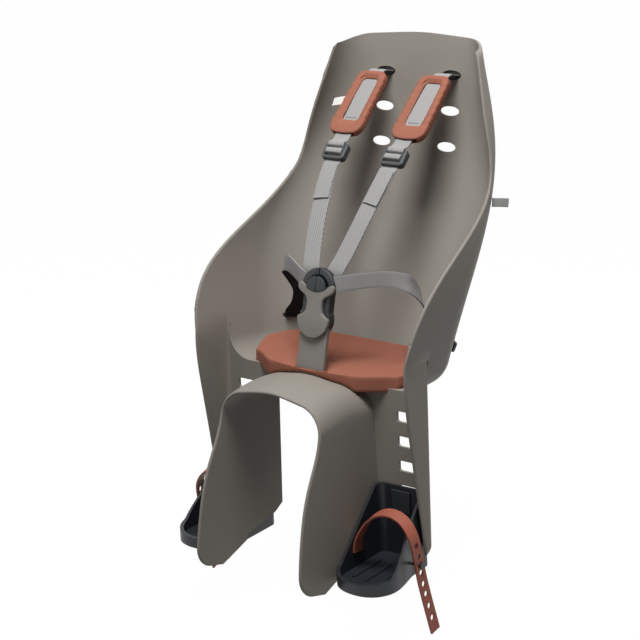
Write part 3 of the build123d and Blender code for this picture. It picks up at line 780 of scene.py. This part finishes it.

# %% [markdown]
# ## Cloth tabs
# Two small blank tabs of woven ribbon are sewn in, one in a shoulder pad and one on the edge of the backrest.
# Ribbon this short is too stiff to drape, so each is a short band with a gentle curl and no simulation.

# %% Tabs
TAB_ROWS = 12
PAD_TAB_WIDTH = 17
PAD_TAB_THICK = 0.8
PAD_TAB_EDGE = 0.2
REAR_TAB_WIDTH = 15
REAR_TAB_THICK = 1.6
REAR_TAB_EDGE = 0.3
REAR_TAB_TURN = (0.12, -0.16, 1)
REAR_TAB = [(186.5, 125.2, 304), (197, 132.5, 304.2), (207.3, 140.8, 303.6)]

low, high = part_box("pad_label")
middle = (low + high) / 2 / MM
route = [(high.x / MM, middle.y, middle.z), (middle.x - 2, middle.y - 1.4, middle.z - 0.6),
         (low.x / MM - 8, middle.y - 2.6, middle.z - 3.6)]
tab = band("pad_tab", route, tuple(PAD_UP), PAD_TAB_WIDTH, PAD_TAB_THICK, [white_cloth],
           "seat", "pad_label", TAB_ROWS, PAD_TAB_EDGE)

tab = band("rear_tab", REAR_TAB, REAR_TAB_TURN, REAR_TAB_WIDTH, REAR_TAB_THICK, [grey_cloth],
           "seat", "rear_loop", TAB_ROWS, REAR_TAB_EDGE)

# %% [markdown]
# ## The buckle's front
# The two tongues meet in a ring round the push button, and the housing's cover reaches up to it with two
# horns and a hollow between them. Each is a moulded plate, so no sculpting is needed: an outline of arcs and
# smooth lines is pulled up to its thickness, and a bevel rounds its front edge. They lie where their solids
# do.


# %% Plates in the buckle's plane
BUCKLE = Vector((0, -75, 155))
BUCKLE_UP = Vector((0, 0.18, 0.984)).normalized()
BUCKLE_OUT = Vector((0, -0.984, 0.18)).normalized()


def arc(centre, radius, start, end, steps=24):
    """Points of an arc in millimetres, between two angles in degrees."""
    angles = [math.radians(start + (end - start) * k / steps) for k in range(steps + 1)]
    return [(centre[0] + radius * math.cos(a), centre[1] + radius * math.sin(a)) for a in angles]


def plate(name, levels, material, body, node):
    """Closed outlines as one piece, each with its back, its front and the rounding of its front edge."""
    mesh = bmesh.new()
    for outline, (back, front, rounding) in levels:
        rim = [mesh.verts.new((x, y, back)) for x, y in outline]
        grown = bmesh.ops.extrude_face_region(mesh, geom=[mesh.faces.new(rim)])["geom"]
        lifted = [v for v in grown if isinstance(v, bmesh.types.BMVert)]
        for vert in lifted:
            vert.co.z = front
        edges = [e for e in grown if isinstance(e, bmesh.types.BMEdge)]
        bmesh.ops.bevel(mesh, geom=edges, offset=rounding, segments=3, profile=0.5, affect="EDGES",
                        material=-1)
    bmesh.ops.recalc_face_normals(mesh, faces=mesh.faces)
    for vert in mesh.verts:
        across, up, out = vert.co
        vert.co = (BUCKLE + Vector((across, 0, 0)) + BUCKLE_UP * up + BUCKLE_OUT * out) * MM
    open_edges = sum(1 for e in mesh.edges if len(e.link_faces) != 2)
    made = piece(name, mesh, [material], body, node)
    made.data.set_sharp_from_angle(angle=SHARP)
    print(name, "faces:", len(made.data.polygons), "open edges:", open_edges)


def flipped(outline):
    return [(-x, y) for x, y in outline]


# %% Cover
COVER_LEVELS = (5.4, 10.9, 1.4)
DISC = (0, -25)
DISC_R = 29.5
HOLLOW = (0, 48.7)
HOLLOW_R = 31.7
HORN = [
    (22.8, 26.7), (27.5, 30), (32, 29.5), (34, 25.5), (32.5, 19.5), (26, 14.5), (18.5, 10), (15, 4),
    (14.5, -6), (16, -13.5), (21, -18.5), (27, -21.5),
]
HORN_STEPS = 44
horn = [Vector((x, y, 0)) for x, y in HORN]
horn = [along(horn, k / HORN_STEPS) for k in range(1, HORN_STEPS)]
half = arc(HOLLOW, HOLLOW_R, -90, -44) + [(p.x, p.y) for p in horn] + arc(DISC, DISC_R, 5, -90)
cover = half + list(reversed(flipped(half[1:-1])))
plate("buckle_cover_plate", [(cover, COVER_LEVELS)], cover_plastic, "seat", "buckle_cover")

# %% [markdown]
# Each tongue is half of the ring. A thin web closes the ring at its back, behind the button, so nothing shows
# through. The two halves meet at the top with a narrow gap.

# %% Ring of the two tongues
RING_LEVELS = (-4, 6.4, 2.4)
WEB_LEVELS = (-4.2, -2.7, 0.4)
RING = (0, 24)
RING_R = 31.0
RING_BORE = 19.2
WEB_LAP = 1.5
for word, side in SIDES:
    ring = arc(RING, RING_R, -4, 88.8) + arc(RING, RING_BORE, 88.2, -4)
    web = arc(RING, RING_BORE + WEB_LAP, -2, 89) + [(0.3, RING[1])]
    if side < 0:
        ring, web = flipped(ring), flipped(web)
    plate(f"buckle_ring_{word}", [(ring, RING_LEVELS), (web, WEB_LEVELS)], dark_plastic, "seat",
          f"buckle_tongue_{word}")

# %% [markdown]
# The button fills the ring down to the cover's hollow. Its cap is two halves on one base, which leaves a
# groove down the middle without a cut, and a stem goes in behind it.

# %% Button
CAP_LEVELS = (8.2, 11.5, 0.9)
BASE_LEVELS = (8.0, 10.6, 0.4)
STEM_LEVELS = (0.9, 9.6, 0.4)
BUTTON_R = 18.0
BUTTON_BASE_R = 16.0
GROOVE = 2.2
STEM_R = 5.4
HOLLOW_GAP = 0.8
half = arc(RING, BUTTON_R, -1.3, 90 - GROOVE) + arc(HOLLOW, HOLLOW_R - HOLLOW_GAP, -89, -54.4)
base = arc(RING, BUTTON_BASE_R, 8, 172)
stem = arc(RING, STEM_R, 0, 345, 23)
plate("buckle_button_cap",
      [(half, CAP_LEVELS), (flipped(half), CAP_LEVELS), (base, BASE_LEVELS), (stem, STEM_LEVELS)],
      dark_plastic, "button", "buckle_button")

# %% [markdown]
# ## Strap bars
# Behind the backrest each shoulder strap is sewn round a bar. Seen through the slot, the bar closes the view,
# so it reaches a little further down here than its solid does.

# %% Bars behind the slots
BAR_DROP = 8.0
BAR_ROUND = 1.8
for word, side in SIDES:
    low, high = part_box(f"strap_bar_{word}")
    mesh = bmesh.new()
    bar = bmesh.ops.create_cube(mesh, size=1.0)["verts"]
    for vert in bar:
        vert.co = Vector([high[k] if vert.co[k] > 0 else low[k] for k in range(3)])
        if vert.co.z < (low.z + high.z) / 2:
            vert.co.z -= BAR_DROP * MM
    bmesh.ops.bevel(mesh, geom=mesh.edges[:], offset=BAR_ROUND * MM, segments=3, profile=0.5, affect="EDGES",
                    material=-1)
    piece(f"strap_bar_moulding_{word}", mesh, [dark_plastic], "seat", f"strap_bar_{word}")
print("bars:", len(SIDES))

# %% [markdown]
# ## Hard pieces that keep their solids
# The buckle's housing, sliders, footrests and the rack clamp are already modelled with their real edges, so
# they only need their finish.

# %% Finishes for the solids
dress(dark_plastic, "buckle_housing", "crotch_foot", "adapter_base", "clamp_knob",
      *[f"{name}_{word}" for name in ("waist_keeper", "clamp_jaw", "footrest_latch", "strap_stud")
        for word, side in SIDES])
dress(slider_plastic, "strap_slider_left", "strap_slider_right")
dress(cover_plastic, "crotch_strap")
dress(foot_plastic, "footrest_left", "footrest_right")
dress(steel, "button_spring", "adapter_bolts", "adapter_nuts", "clamp_screw", "screw_collar")

# %% [markdown]
# ## Floor, light and camera
# The seat is shown on white, lit softly from above, so its lower parts fall off into shade. Lamps strong
# enough to make the floor white would bleach the seat, so the floor and the world look white to the camera
# through Light Path, and the lamps stay at a plain level.

# %% Floor
FLOOR_GAP = 0.012
FLOOR = cad_box[0][2] - FLOOR_GAP
mesh = bmesh.new()
bmesh.ops.create_grid(mesh, x_segments=1, y_segments=1, size=30.0)
for vert in mesh.verts:
    vert.co.z = FLOOR
data = bpy.data.meshes.new("floor")
mesh.to_mesh(data)
mesh.free()
floor = bpy.data.objects.new("floor", data)
bpy.context.scene.collection.objects.link(floor)


def seen(shade):
    """1 for rays from the eye, a mirror or glass, 0 for the light that bounces."""
    eye = shade.node("LightPath", output="Is Camera Ray")
    return (eye + eye.out("Is Glossy Ray") + eye.out("Is Transmission Ray")) > 0.5


WHITENESS = 0.9
floor_white = bpy.data.materials.new("floor_white")
floor_white.use_nodes = True
floor_white.node_tree.nodes.clear()
shade = Shade(floor_white.node_tree)
paper = shade.node("BsdfDiffuse", None, {"Color": (0.3, 0.3, 0.3, 1)})
glow = shade.node("Emission", None, {"Color": (1, 1, 1, 1), "Strength": 1.1})
shade.node("OutputMaterial", None, {
    "Surface": shade.node("MixShader", None, {0: seen(shade) * WHITENESS, 1: paper, 2: glow})})
floor.data.materials.append(floor_white)
print("floor at:", round(FLOOR, 3))

# %% World
AMBIENT = 0.08
world = bpy.data.worlds.new("studio")
bpy.context.scene.world = world
world.use_nodes = True
shade = Shade(world.node_tree)
background = world.node_tree.nodes["Background"].inputs
background["Color"].default_value = (1, 1, 1, 1)
feed(background, Strength=seen(shade) * (1 - AMBIENT) + AMBIENT)
print("world:", world.name)


# %% Lamps
def lamp(name, place, aim, size, watts):
    light = bpy.data.lights.new(name, "AREA")
    light.shape, light.size, light.energy = "DISK", size, watts
    made = bpy.data.objects.new(name, light)
    made.location = place
    made.rotation_mode = "QUATERNION"
    made.rotation_quaternion = (Vector(aim) - Vector(place)).to_track_quat("-Z", "Y")
    bpy.context.scene.collection.objects.link(made)
    print("lamp:", name, watts)


lamp("key", (0.35, -0.75, 2.3), (0, 0, 0.25), 1.1, 58)
lamp("fill", (-1.6, -1.6, 1.4), (0, 0, 0.1), 1.4, 3)
lamp("rear", (0.9, 1.5, 1.9), (0, 0, 0.2), 1.0, 10)

# %% [markdown]
# The camera stands in front of the seat, on its left and a little above, with a long lens that keeps the
# perspective mild.

# %% Camera
camera = bpy.data.cameras.new("camera")
camera.lens, camera.sensor_width = 95.6, 36.0
camera.clip_end = 100.0
viewpoint = bpy.data.objects.new("camera", camera)
viewpoint.location = (1.5386, -2.1119, 0.7644)
viewpoint.rotation_mode = "QUATERNION"
viewpoint.rotation_quaternion = Vector((-0.5839, 0.7749, -0.2419)).to_track_quat("-Z", "Y")
bpy.context.scene.collection.objects.link(viewpoint)
bpy.context.scene.camera = viewpoint
bpy.context.scene.view_settings.view_transform = "Standard"
print("lens:", camera.lens)

# %% [markdown]
# At the end the view layer is brought up to date.

# %% Update the view layer
bpy.context.view_layer.update()
